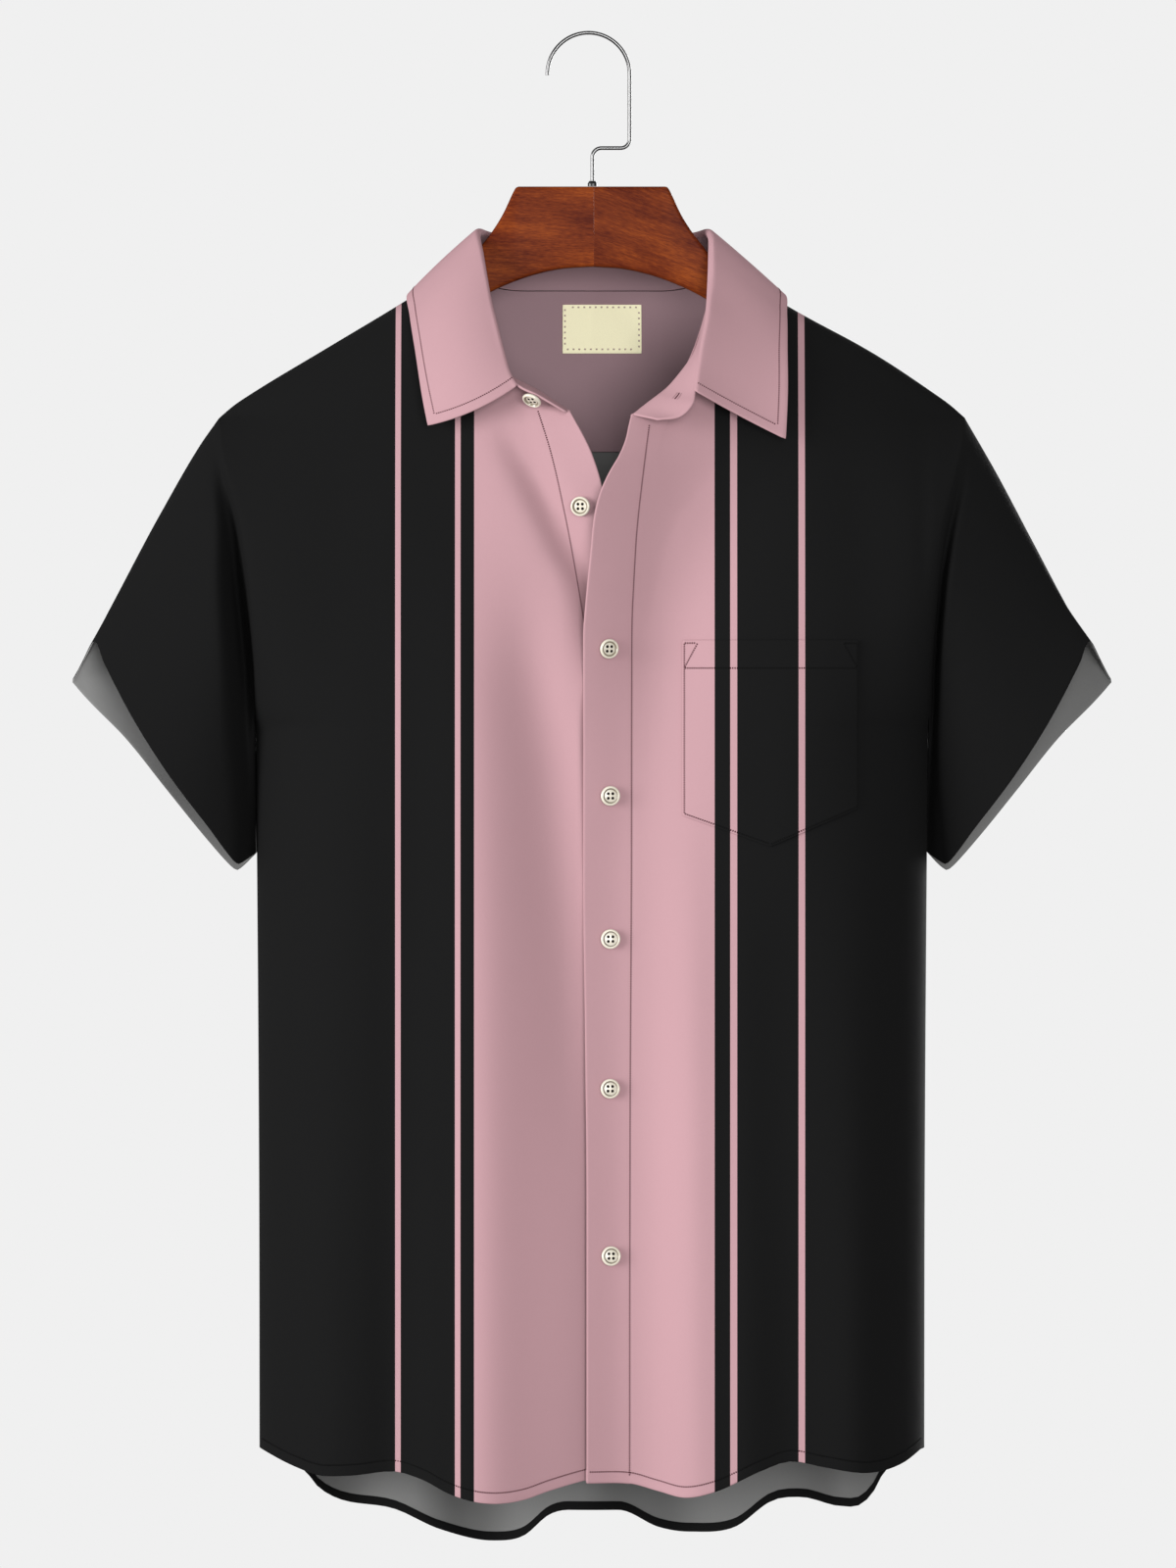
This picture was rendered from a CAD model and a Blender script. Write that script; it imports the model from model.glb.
"""Looks of a short-sleeved bowling shirt that hangs buttoned on a wooden hanger.

Sizes are in millimetres and the meshes in metres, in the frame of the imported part: the
origin is the inner face of the hook, +X is to the viewer's right, +Y goes from the front of
the shirt to its back and +Z is up, so heights are negative. The cloth follows the same
tables of edges and folds as the part's solids, with finer folds and the sewing added.

The first row of a table holds places, and each other row what lies at them.
"""

import math

import bpy
import numpy as np
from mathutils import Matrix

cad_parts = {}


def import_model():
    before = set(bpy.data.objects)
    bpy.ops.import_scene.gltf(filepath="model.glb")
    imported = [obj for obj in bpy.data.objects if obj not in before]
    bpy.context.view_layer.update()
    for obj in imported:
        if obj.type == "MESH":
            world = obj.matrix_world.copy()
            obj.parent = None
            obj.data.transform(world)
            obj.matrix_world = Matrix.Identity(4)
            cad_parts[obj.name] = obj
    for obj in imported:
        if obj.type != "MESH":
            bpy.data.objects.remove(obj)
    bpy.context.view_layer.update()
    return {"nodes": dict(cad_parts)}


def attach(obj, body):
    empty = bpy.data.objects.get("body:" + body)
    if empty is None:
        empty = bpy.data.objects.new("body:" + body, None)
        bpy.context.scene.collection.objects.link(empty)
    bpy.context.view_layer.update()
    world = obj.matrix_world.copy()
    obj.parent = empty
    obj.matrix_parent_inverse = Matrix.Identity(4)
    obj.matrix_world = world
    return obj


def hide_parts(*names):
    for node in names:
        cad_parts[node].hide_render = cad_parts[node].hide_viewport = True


METRES_PER_MM = 0.001
LEFT, RIGHT = -1, 1
FRONT, BACK = -1, 1
BODY = "root"

# ---------------------------------------------------------------- shape of the garment

CLOTH, COLLAR_CLOTH, LINING_CLOTH, LABEL_CLOTH = 0.9, 1.5, 0.8, 0.6
FACING_EXTRA, HEM_EXTRA = 0.7, 0.6
SEAM_GAP, LAYER_GAP, PATCH_GAP = 0.3, 0.4, 0.35

NECK_SIDE_X = 84.0
SHOULDER_TIP_X, SHOULDER_TIP_Z = 229.0, -235.5
UNDERARM_Z = -424.0
YOKE_SEAM_Z = -254.9
HEM_Z = -895.0

# Half depth of the body: round over the hanger, then widening downwards. Its sides are
# rounded over SIDE_ROUND, down to the half depth of the armhole.
HANGER_ROUND = 8.0
CHEST_HALF_DEPTH = {FRONT: 74.0, BACK: 70.0}
WIDENING_DROP = 75.0
SIDE_ROUND = 95.0
ARMHOLE_HALF_DEPTH = 44.0
LOOP_FULLNESS = 0.6

# Heights of lines by x.
SHOULDER_LINE = (
    (0, 30, 55, 76, 86, 100, 112.8, 162.6, 208.5, 220.2, 229),
    (-84, -94, -112, -134.4, -143.6, -154, -162.3, -192.3, -220, -227.9, -235.5),
)
# The shoulder at the viewer's right stands a little higher: middle, half width and rise.
RIGHT_SHOULDER_LIFT = (172.0, 34.0, 2.8)
UPPER_NECKLINE = (
    (24.6, 30, 37.3, 47.4, 59.2, 66.8, 72, 78, 84),
    (-234.3, -230.4, -224.5, -216.1, -200.9, -180.7, -163, -151, -141.8),
)
UNDER_NECKLINE = (
    (13.8, 28, 40, 50, 58, 65, 71, 78, 84),
    (-232, -222.6, -215.4, -209.8, -196, -173, -160, -150, -141.8),
)
BACK_NECKLINE = ((0, 30, 55, 72, 84), (-156.5, -156.5, -155.5, -150.5, -141.8))
UPPER_HEM = (
    (-2.4, 24, 40, 57, 75, 104, 122, 142, 168, 190, 204),
    (-886.5, -887.1, -891.5, -895.5, -892, -879, -873.3, -876.9, -880.5, -875.4, -865.5),
)
UNDER_HEM = (
    (-24, 2, 26, 42, 59, 73, 88, 103, 123, 145, 163, 182, 204),
    (-881, -884.7, -891.3, -896.7, -898.8, -897.3, -892.5, -884.7, -879.3, -881.7,
     -882.3, -877, -866.5),
)
BACK_HEM = (
    (-204, -176, -170, -158, -121, -94, -61, -42, -26, -14, 16, 41, 60, 88, 112, 128,
     154, 165, 173, 180, 204),
    (-866.8, -883, -891, -899, -906, -918.3, -925.8, -922.8, -909.5, -906.5, -906.5,
     -917.3, -920.3, -917.3, -900.4, -898.4, -904.2, -903.5, -896, -883, -866.8),
)

# Places of edges, in x, by height.
OUTER_EDGE = (
    (-866, -700, -503, -424, -373, -305, -257, -235.5),
    (204, 204.3, 205.6, 206.4, 207.6, 214.8, 226, 229),
)
UPPER_FRONT_EDGE = (
    (-886, -718, -610, -520, -370, -348, -318, -295, -282, -270, -258, -248, -241, -234.3),
    (-2.4, -2.4, -3.4, -4.5, -4.5, -3, 0, 2.4, 5.7, 11, 17.8, 21.6, 23, 24.6),
)
UNDER_FRONT_EDGE = (
    (-886, -390, -370, -340, -310, -278, -265, -254, -232),
    (24, 24, 23, 19.5, 14, 5.7, 1.8, -2.4, -13.8),
)

# Vertical folds: x at the hem, half width and how far each swings out.
FOLD_START_Z = -400.0
FOLDS = {
    FRONT: ((-163, 26, 6), (-120, 26, -7), (124, 34, -9), (168, 24, 6)),
    BACK: (
        (-150, 30, 7), (-104, 28, -6), (-58, 36, 11), (0, 34, -8), (60, 36, 10),
        (120, 32, -9), (158, 24, 7),
    ),
}

# Drapes: soft ridges and troughs that run down a panel. By height: the x of the middle, the
# half width and the rise.
DRAPES = {
    "front_left": (
        (
            (-430, -400, -370, -340, -310, -280, -255, -238),
            (-1, -1, -1, -2, -16, -31, -44, -53),
            (8, 9, 10, 11, 12, 12.5, 13, 13),
            (0, -1.5, -4.5, -8, -8.5, -8.5, -6, -2),
        ),
        (
            (-960, -700, -520, -420, -360, -300),
            (-67.5, -68, -70.5, -75, -80, -82),
            (28, 28, 28, 27, 26, 26),
            (13, 12, 11, 8, 4, 0),
        ),
        (
            (-960, -860, -780, -700, -640, -580, -520, -460, -400, -350, -320),
            (25, 25, 22, 10, -1, -8, -16, -24, -34, -38, -40),
            (40, 40, 39, 34, 29, 26, 24, 22, 20, 18, 18),
            (-22, -22, -20, -16, -14, -12.5, -11, -10, -7, -2, 0),
        ),
    ),
    "front_right": (
        (
            (-960, -520, -440, -380, -330),
            (20, 20, 20, 20, 20),
            (70, 70, 70, 70, 70),
            (-9, -9, -7, -3, 0),
        ),
        (
            (-960, -700, -520, -460, -400, -360),
            (22, 21, 18, 30, 40, 42),
            (28, 27, 26, 28, 34, 34),
            (-8, -6, -4, -5, -7, -3),
        ),
        ((-960, -560, -460), (62, 60, 60), (15, 15, 15), (3.4, 3, 0)),
    ),
}

# Soft creases of each panel: x and z of the upper and of the lower end, half width, rise.
CREASES = {
    "front_left": ((-150, -215, -168, -470, 24, -2.2), (-126, -330, -118, -640, 22, -2.0)),
    "front_right": (
        (92, -262, 34, -392, 30, -7.0),
        (160, -222, 182, -480, 20, -2.6),
        (118, -520, 106, -760, 22, -2.0),
        (203, -226, 203, -345, 3.5, -2.4),
    ),
    "back": (
        (-120, -270, -96, -560, 24, -2.6),
        (-40, -262, -52, -640, 22, 2.2),
        (28, -262, 40, -600, 22, -2.4),
        (112, -268, 88, -540, 26, 2.4),
        (176, -250, 186, -470, 18, -2.6),
        (-178, -252, -186, -480, 18, -2.2),
    ),
}
# How far a crease goes on past its ends and how long it fades, as shares of its length.
CREASE_REACH, CREASE_FADE = 0.15, 0.45

# How far the front edges roll out towards the viewer. By height: the upper one's roll and
# the width it takes, and the under one's roll.
EDGE_ROLL = (
    (-886, -520, -440, -400, -340, -300, -280, -265, -245, -232),
    (0.5, 0.5, 1, 3, 7.5, 11.5, 13.5, 14, 11, 7),
    (38, 38, 38, 38, 42, 50, 60, 66, 68, 60),
    (0, 0, 0, 0, 0, 1, 3, 5, 6, 4),
)
UNDER_ROLL_WIDTH = 38.0
ROLL_POWER = 1.4
# The upper front stands out over the lap, and the under one stays this far behind it.
LAP_RISE, LAP_RISE_WIDTH = 2.2, 52.0
LAP_GAP, LAP_BLEND = 2.1, 3.0

# Cuffs, by the way from the crest of the sleeve down to its underarm: x and z.
SLEEVE_HEM_HALF_DEPTH = 32.0
SLEEVE_HEM = {
    FRONT: (
        (0, 0.05, 0.14, 0.32, 0.55, 0.78, 0.92, 0.935, 0.95, 1),
        (312.5, 305.5, 299, 282, 259.5, 235, 218, 216.6, 214.4, 207.6),
        (-384, -372, -385.5, -418, -453.5, -486, -508, -508.6, -507, -501),
    ),
    BACK: (
        (0, 0.035, 0.05, 0.065, 0.14, 0.32, 0.55, 0.78, 0.915, 0.93, 0.945, 1),
        (312.5, 317.6, 319.2, 317.6, 309, 287, 262, 236, 220.4, 218.6, 216.4, 207.6),
        (-384, -393.6, -396.4, -398.6, -408.5, -431, -462.2, -494, -511, -512.4, -511, -501),
    ),
}
# A deep fold of the sleeve beside the body, from the armhole down. By height: how far its
# middle is from the body's edge, its half width, and its depth as a share of the sleeve's.
SIDE_FOLD_Z = (-510, -460, -400, -340, -290, -250)
SIDE_FOLD = {
    LEFT: (
        SIDE_FOLD_Z,
        (2.5, 4, 6, 7.5, 5, 1),
        (5, 6, 7, 6.5, 5, 5),
        (0.85, 0.9, 0.9, 0.75, 0.3, 0),
    ),
    RIGHT: (
        SIDE_FOLD_Z,
        (1.5, 2, 3, 3.5, 4, 4),
        (2.6, 2.6, 2.4, 2.4, 3, 3),
        (0.8, 0.8, 0.7, 0.45, 0.15, 0),
    ),
}
# The crest of each sleeve bows out or in, by the share of its length from the shoulder.
CREST_BOW = {
    LEFT: ((0, 0.12, 0.4, 0.75, 1), (0, 2.0, 2.6, 1.2, 0)),
    RIGHT: ((0, 0.2, 0.5, 0.8, 1), (0, 0.4, -0.8, -2.0, 0)),
}
CREST_OUTWARD = (0.87, 0.49)
# Its underarm seam runs on behind the side of the body.
SEAM_BEHIND = 8.0
SEAM_AT_CUFF_X = 205.4

# The collar's lines hold one point in a column, from the viewer's left end round the neck:
# x and z of the neck seam, and x, y and z of the stand's upper edge.
STAND_SEAM = (
    (-15, -32, -50, -58, -65, -76, -84, -72, -40, 0,
     40, 72, 84, 76, 68.7, 62, 47.4, 39, 32, 25.6),
    (-231, -219.4, -209.2, -196, -173, -153, -141.8, -150.5, -156.5, -156.5,
     -156.5, -150.5, -141.8, -154, -173.7, -196, -216.1, -223, -228.5, -233.6),
)
STAND_TOP = (
    (-15.5, -31.5, -46.5, -54.5, -62, -67, -69, -59, -34, 0,
     34, 60, 71, 71.5, 69.5, 65, 62.5, 61, 53.4, 40.2),
    (-75, -75, -68, -57, -40, -20, 0, 24, 40, 47,
     40, 24, 0, -19, -43, -60, -74, -80, -82, -81),
    (-232, -222.6, -214, -195, -168, -140, -124.6, -125, -125.5, -125.5,
     -125.5, -125, -124.6, -138, -170, -196, -219, -227.2, -235, -236.7),
)
LEFT_SHOULDER_ROW, RIGHT_SHOULDER_ROW = 6, 12
# The leaf's free edge, between two points of the stand: x, z and how far it stands off.
LEAF_FIRST, LEAF_LAST = 2, 16
LEAF_EDGE = (
    (-100.2, -104, -108, -111.5, -112.5, -96, -54, 0,
     54, 98, 117.5, 119.4, 119.4, 119.4, 118.2),
    (-240, -220.5, -195, -173, -158.6, -167.5, -176, -176,
     -176, -170, -159, -172, -196, -220, -248.1),
    (12.5, 13.5, 10.5, 6.5, 0, 4.2, 4.2, 4.2, 4.2, 4.2, 0, 8, 12, 13, 12),
)
STAND_LIFT = 1.2
ROLL_START, ROLL_RADIUS = 0.8, 2.6
# Outward bulge of the leaf by points of the stand.
LEAF_BULGE = ((2, 4, 5, 6, 7, 9, 11, 12, 13, 14, 16), (6, 6, 4, 1, 2.4, 3, 2.4, 0.6, 0, -1.4, -1.6))

POCKET_LEFT, POCKET_RIGHT, POCKET_TOP = 55.8, 162.6, -372.3
POCKET_LEFT_CORNER, POCKET_RIGHT_CORNER, POCKET_POINT = -479.0, -474.6, -497.8
LABEL_LEFT, LABEL_RIGHT, LABEL_TOP, LABEL_BOTTOM = -18.0, 30.6, -164.4, -194.0

# Outline of a button, radius and height, and its four holes.
BUTTON_PROFILE = (
    (0, 0), (4.9, 0), (5.5, 0.25), (5.95, 0.8), (6.1, 1.3), (6.0, 1.8), (5.7, 2.2), (5.3, 2.4),
    (4.95, 2.38), (4.7, 2.15), (4.5, 1.7), (4.2, 1.3), (3.7, 1.2), (3.4, 1.3), (1.8, 1.5),
    (0, 1.55),
)
GROOVE_INNER, GROOVE_OUTER = 3.6, 4.62
HOLE_RADIUS, HOLE_OFFSET, HOLE_DEPTH = 0.92, 1.4, 9.6
HOLES = [(x, y) for x in (-HOLE_OFFSET, HOLE_OFFSET) for y in (-HOLE_OFFSET, HOLE_OFFSET)]
# The thread ends well below the face of the button, so the holes stay dark.
THREAD_TOP, THREAD_LOW, THREAD_RADIUS = 0.7, -1.0, 0.88
BUTTON_GAP = 1.0
UNDER_BUTTON = (-6.6, -290.1)
FRONT_BUTTONS = ((9.8, -377.1), (10.8, -467.1), (11.0, -554.7), (10.7, -646.2), (11.2, -748.5))
STAND_BUTTON = (-36.3, -71.0, -224.6)
STAND_BUTTON_TILT, STAND_BUTTON_TURN = 60.0, -25.0

# Bands of pink across the front; the rest of it is black.
PINK_BANDS = ((-120.3, -116.9), (-83.7, -80.3), (-72.0, 75.0), (84.5, 88.8), (126.3, 130.3))

# Stitches: pitch, length and width.
STITCH = (1.41, 0.84, 0.9)
POCKET_STITCH = (1.41, 0.84, 1.15)
LABEL_STITCH = (3.55, 1.3, 1.2)
BUTTONHOLE_CORD = (0.55, 0.45, 0.7)
BUTTONHOLE_SLIT = (0.5, 0.56, 0.8)
STITCH_HEIGHT, STITCH_SINK = 0.2, 0.12
# The top of a stitch is smaller than its foot.
STITCH_TOP_SHARE = 0.75
# Distances of the lines of stitches from the edges beside them.
HEM_STITCH, BACK_HEM_TURN, YOKE_STITCH = 6.0, 4.4, 1.8
LEAF_STITCH_INSET, LABEL_STITCH_INSET, POCKET_STITCH_INSET = 5.4, 1.2, 0.9
POCKET_POINT_INSET = 1.17
POCKET_HEM, POCKET_TRIANGLE, POCKET_TRIANGLE_TOP = 16.8, 8.2, 1.5
# The placket's stitches: x by height.
UPPER_PLACKET_STITCH = (
    (-883, -748, -646, -520, -400, -359, -333, -304, -269, -238),
    (23, 23.1, 23.4, 24.1, 24.3, 24.6, 25.8, 27.6, 31.5, 35.4),
)
UNDER_PLACKET_STITCH = (
    (-370, -361, -332, -294, -257, -230),
    (-3.5, -4.8, -9.6, -16.8, -25.2, -33.6),
)
# They draw the cloth in along their line.
DITCH_DEPTH, DITCH_WIDTH = 0.12, 1.3
# The buttonhole lies on the stand's inner face: between two of its points, and the heights
# of its lower cord, slit and upper cord as shares of the stand's.
BUTTONHOLE_AT = (16.3, 16.95)
BUTTONHOLE_SHARES = (0.44, 0.51, 0.58)
BUTTONHOLE_SAMPLES = 40

# The hanger's top and underside: height by distance from the middle.
WOOD_TOP = (
    (0, 44.5, 46.8, 48.2, 54.5, 62, 68.5, 76, 86, 100, 112.8, 162.6, 208),
    (-93.3, -93.3, -94.2, -96.6, -110, -122, -130.3, -140.6, -151.2, -161, -169.2,
     -199.2, -226.2),
)
WOOD_UNDERSIDE = (
    (0, 20, 42, 66, 90, 120, 160, 200, 208),
    (-142.5, -144, -149.5, -160, -176, -197, -222, -246, -247),
)
WOOD_THICKNESS, WOOD_EDGE = 12.0, 2.2
WOOD_JOINT_X, WOOD_JOINT_GAP = 1.2, 0.01
# Distances from the joint at which the outline has points, past the joint itself.
WOOD_REACH = np.hstack([
    np.linspace(3, 43, 12), np.linspace(44.5, 48.2, 7), np.linspace(49.5, 205, 90)
])
TIP_REACH, TIP_ANGLE, TIP_STEPS = 0.55, 75, 12
BEVEL_STEPS, BEVEL_SHARP_ANGLE = 5, 30
WIRE_RADIUS = 1.2
HOOK_CENTRE_X, HOOK_RADIUS, HOOK_START_ANGLE = -2.1, 25.2, 182
STEM_X, JOG_Z, JOG_BEND = 0.3, -69.6, 5.4

# ---------------------------------------------------------------- camera and light

PHOTO_WIDTH_MM = 720.0
VIEW_X, VIEW_Y, VIEW_Z = -2.4, -40.0, -459.9
CAMERA_DISTANCE = 16000.0
SENSOR_WIDTH = 36.0
CLIP_END_M = 100.0
FLOOR_DROP, FLOOR_RADIUS, FLOOR_SIDES = 330.0, 2600.0, 128
BACKDROP, ROOM_LIGHT = 0.871, 0.42
# Direction it comes from, strength and spread in degrees.
LAMPS = {
    "key": ((-0.87, -0.47, 0.08), 3.7, 35.0),
    "fill": ((0.17, -0.98, 0.05), 2.4, 30.0),
    "behind": ((0.45, 0.89, 0.0), 2.6, 30.0),
}

# ---------------------------------------------------------------- colours (linear)

PINK = (0.360, 0.2145, 0.2345)
LINING_PINK = (0.275, 0.180, 0.199)
BLACK = (0.0060, 0.0060, 0.0061)
WRONG_SIDE = (0.27, 0.27, 0.267)
# It grades to this down the left sleeve, between the two heights.
LOWER_WRONG_SIDE = (0.11, 0.11, 0.109)
GRADE_TOP_Z, GRADE_LOW_Z = -395.0, -462.0
# On the back and the right sleeve.
GREYER_WRONG_SIDE = (0.155, 0.155, 0.153)
DARK_THREAD = (0.050, 0.013, 0.018)
BLACK_THREAD = (0.004, 0.004, 0.004)
LABEL_THREAD = (0.42, 0.33, 0.27)
BUTTON_THREAD = (0.012, 0.008, 0.008)
CREAM = (0.56, 0.52, 0.43)
STAINED_CREAM = (0.20, 0.17, 0.12)
LABEL_CREAM = (0.95, 0.90, 0.62)


def soft_step(value):
    value = np.clip(value, 0, 1)
    return value * value * (3 - 2 * value)


def bell(distance, half_width):
    return np.exp(-((distance / half_width) ** 2))


def unit(vectors):
    return vectors / np.maximum(np.linalg.norm(vectors, axis=-1, keepdims=True), 1e-12)


def bend(start, end, leaving, arriving, part):
    """A curve from start to end, with a slope at each, read at a part of the way."""
    lean_in, lean_out = part * (1 - part) ** 2, part * part * (part - 1)
    return start + soft_step(part) * (end - start) + lean_in * leaving + lean_out * arriving


def smooth(table, at):
    """Reads a table of two rows along a curve with no corner at its columns."""
    given, values = (np.asarray(row, float) for row in table)
    steps = np.diff(values) / np.diff(given)
    slopes = np.hstack([steps[:1], (steps[:-1] + steps[1:]) / 2, steps[-1:]])
    slopes[1:-1] = np.where(steps[:-1] * steps[1:] > 0, slopes[1:-1], 0)
    place = np.clip(np.asarray(at, float), given[0], given[-1])
    first = np.clip(np.searchsorted(given, place) - 1, 0, len(given) - 2)
    width = given[first + 1] - given[first]
    ends = values[first], values[first + 1]
    leans = width * slopes[first], width * slopes[first + 1]
    return bend(*ends, *leans, (place - given[first]) / width)


def smooth_all(table, at):
    return [smooth((table[0], row), at) for row in table[1:]]


def along(points, at):
    """A smooth line through points, read at fractional numbers of points."""
    slopes = np.gradient(points, axis=0)
    first = np.clip(np.floor(at).astype(int), 0, len(points) - 2)
    part = (at - first)[:, None]
    return bend(points[first], points[first + 1], slopes[first], slopes[first + 1], part)


def outer_edge_x(z):
    return smooth(OUTER_EDGE, z)


def shoulder_z(x):
    middle, half_width, rise = RIGHT_SHOULDER_LIFT
    return smooth(SHOULDER_LINE, np.abs(x)) + rise * bell(x - middle, half_width)


def loop_depth(way):
    """Half depth of an armhole or a cuff as a share of its largest, on the way down it."""
    return np.maximum(np.sin(math.pi * way), 0) ** LOOP_FULLNESS


def fold_swing(x, z, facing):
    total = 0.0
    for centre, half_width, swing in FOLDS[facing]:
        near = np.clip(np.abs(x - centre) / half_width, 0, 1)
        total = total + swing * np.cos(near * math.pi / 2) ** 2
    return total * soft_step((FOLD_START_Z - z) / (FOLD_START_Z - HEM_Z))


def crease_rise(x, z, panel):
    """Rise of a panel's soft creases, which fade in and out along their lines, and drapes."""
    total = 0.0
    for upper_x, upper_z, lower_x, lower_z, half_width, rise in CREASES.get(panel, ()):
        run_x, run_z = lower_x - upper_x, lower_z - upper_z
        length = math.hypot(run_x, run_z)
        way = ((x - upper_x) * run_x + (z - upper_z) * run_z) / length**2
        across = ((x - upper_x) * run_z - (z - upper_z) * run_x) / length
        begun = soft_step((way + CREASE_REACH) / CREASE_FADE)
        left = soft_step((1 + CREASE_REACH - way) / CREASE_FADE)
        total = total + rise * begun * left * bell(across, half_width)
    for drape in DRAPES.get(panel, ()):
        centre, half_width, rise = smooth_all(drape, z)
        total = total + rise * bell(x - centre, half_width)
    return total


def body_depth(x, z, facing, panel=None):
    """Distance of the outer face of the body from the plane of the hanger. The creases are
    those of the panel, if one is named."""
    drop = np.maximum(shoulder_z(x) - z, 0)
    over = np.sqrt(np.maximum(1 - (1 - np.minimum(drop / HANGER_ROUND, 1)) ** 2, 0))
    widening = 1 - np.exp(-drop / WIDENING_DROP)
    full = HANGER_ROUND * over + (CHEST_HALF_DEPTH[facing] - HANGER_ROUND) * widening
    inset = np.clip((outer_edge_x(z) - np.abs(x)) / SIDE_ROUND, 0, 1)
    rounding = np.sqrt(1 - (1 - inset) ** 2)
    way = np.clip((SHOULDER_TIP_Z - z) / (SHOULDER_TIP_Z - UNDERARM_Z), 0, 1)
    edge = np.minimum(ARMHOLE_HALF_DEPTH * loop_depth(way), full)
    folds = fold_swing(x, z, facing) + crease_rise(x, z, panel) * widening
    return edge + (full - edge + folds) * rounding


def body_points(x, z, facing, panel):
    y = facing * np.maximum(body_depth(x, z, facing, panel), SEAM_GAP / 2)
    return np.stack([x, y, z], axis=-1)


def back_points(x, z):
    return body_points(x, z, BACK, "back")


def upper_front_points(x, z):
    """The upper front, which rolls out at its edge and rises over the lap."""
    points = body_points(x, z, FRONT, "front_right")
    from_edge = np.maximum(x - smooth(UPPER_FRONT_EDGE, z), 0)
    roll, width, _ = smooth_all(EDGE_ROLL, z)
    points[..., 1] -= roll * np.maximum(1 - from_edge / width, 0) ** ROLL_POWER
    points[..., 1] -= LAP_RISE * soft_step(1 - from_edge / LAP_RISE_WIDTH)
    return points


def under_front_points(x, z):
    """The under front, which rolls out a little and stays behind the upper one."""
    points = body_points(x, z, FRONT, "front_left")
    from_edge = np.maximum(smooth(UNDER_FRONT_EDGE, z) - x, 0)
    roll = smooth_all(EDGE_ROLL, z)[-1]
    points[..., 1] -= roll * np.maximum(1 - from_edge / UNDER_ROLL_WIDTH, 0) ** 2
    behind = np.maximum(upper_front_points(x, z)[..., 1] + LAP_GAP - points[..., 1], 0)
    over_lap = soft_step((x - smooth(UPPER_FRONT_EDGE, z)) / LAP_BLEND + 1)
    points[..., 1] += over_lap * behind
    return points


# ---------------------------------------------------------------- meshes

# The materials by name, which new_skin adds.
SKINS = {}
# The rim of a piece of cloth turns through these angles, from its shown to its wrong side.
RIM_ANGLES = np.radians((45, 90, 135))
# Step along lines of stitches, and between the points that a surface's normal is read from.
SAMPLE_STEP = 1.0


def grid_normals(points, closed=False):
    """Unit normals of a grid of points; the columns run round a ring when it is closed."""
    if closed:
        across = np.roll(points, -1, axis=1) - np.roll(points, 1, axis=1)
    else:
        across = np.gradient(points, axis=1)
    return unit(np.cross(across, np.gradient(points, axis=0)))


def patch(bottom, top, inner, outer, heights):
    """x and z of a grid between four edges, which are pairs of x and z. Each row is one
    level, hem first."""
    across = (bottom[0] - bottom[0][0]) / (bottom[0][-1] - bottom[0][0])
    up = heights[:, None]
    grid = []
    for low, high, near, far in zip(bottom, top, inner, outer):
        sides = (1 - across) * near[:, None] + across * far[:, None]
        corners_low = (1 - across) * low[0] + across * low[-1]
        corners_high = (1 - across) * high[0] + across * high[-1]
        grid.append((1 - up) * (low - corners_low) + up * (high - corners_high) + sides)
    return grid


def arc_lengths(grid, axis):
    """Distance along one direction of a grid, from its first row or column."""
    steps = np.linalg.norm(np.diff(grid, axis=axis), axis=-1)
    start = np.zeros_like(np.take(steps, [0], axis=axis))
    return np.concatenate([start, np.cumsum(steps, axis=axis)], axis=axis)


def new_mesh(name, points, faces, *skins):
    """A smoothly shaded mesh from points in millimetres."""
    mesh = bpy.data.meshes.new(name)
    mesh.from_pydata((np.asarray(points, float) * METRES_PER_MM).tolist(), [], faces)
    for skin in skins:
        mesh.materials.append(SKINS[skin])
    mesh.shade_smooth()
    mesh.validate()
    return mesh


def piece(name, data, node=None):
    """A piece of the body, which takes its finish from a slot and may replace a node."""
    made = bpy.data.objects.new(name, data)
    bpy.context.scene.collection.objects.link(made)
    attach(made, BODY)
    if node:
        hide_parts(node)
    return made


def edge_directions(grid, closed):
    """Directions that leave a grid at its edges, in the plane of the cloth."""
    leaving = np.zeros_like(grid)
    leaving[0] += unit(grid[0] - grid[1])
    leaving[-1] += unit(grid[-1] - grid[-2])
    if not closed:
        leaving[:, 0] += unit(grid[:, 0] - grid[:, 1])
        leaving[:, -1] += unit(grid[:, -1] - grid[:, -2])
    return unit(leaving).reshape(-1, 3)


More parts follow.
